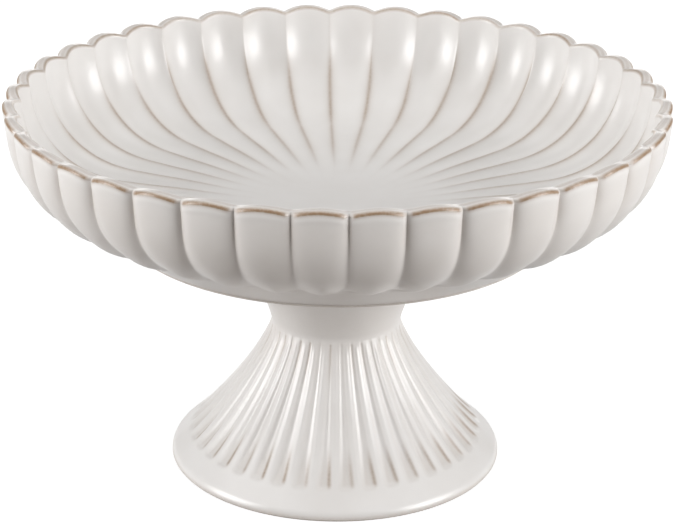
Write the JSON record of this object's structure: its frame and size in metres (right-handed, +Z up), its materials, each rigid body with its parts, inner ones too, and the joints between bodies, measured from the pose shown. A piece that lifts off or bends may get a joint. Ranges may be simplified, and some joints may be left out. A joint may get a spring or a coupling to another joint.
{
  "type": "footed compote bowl",
  "caption": "Shallow scalloped serving bowl with inner ridges, on a fluted flaring pedestal, in glazed ceramic.",
  "frame": {"origin": "centre of the foot, on the surface that it stands on", "axes": "+Z up along the common axis of bowl and pedestal; a petal's crest points along +X"},
  "size_m": [0.3, 0.3, 0.1759],
  "materials": {
    "bowl": "gloss",
    "pedestal": "gloss",
    "slip_joint": "gloss"
  },
  "bodies": {
    "root": {"bowl": "bowl", "pedestal": "pedestal", "slip_joint": "slip_joint"}
  },
  "joints": []
}
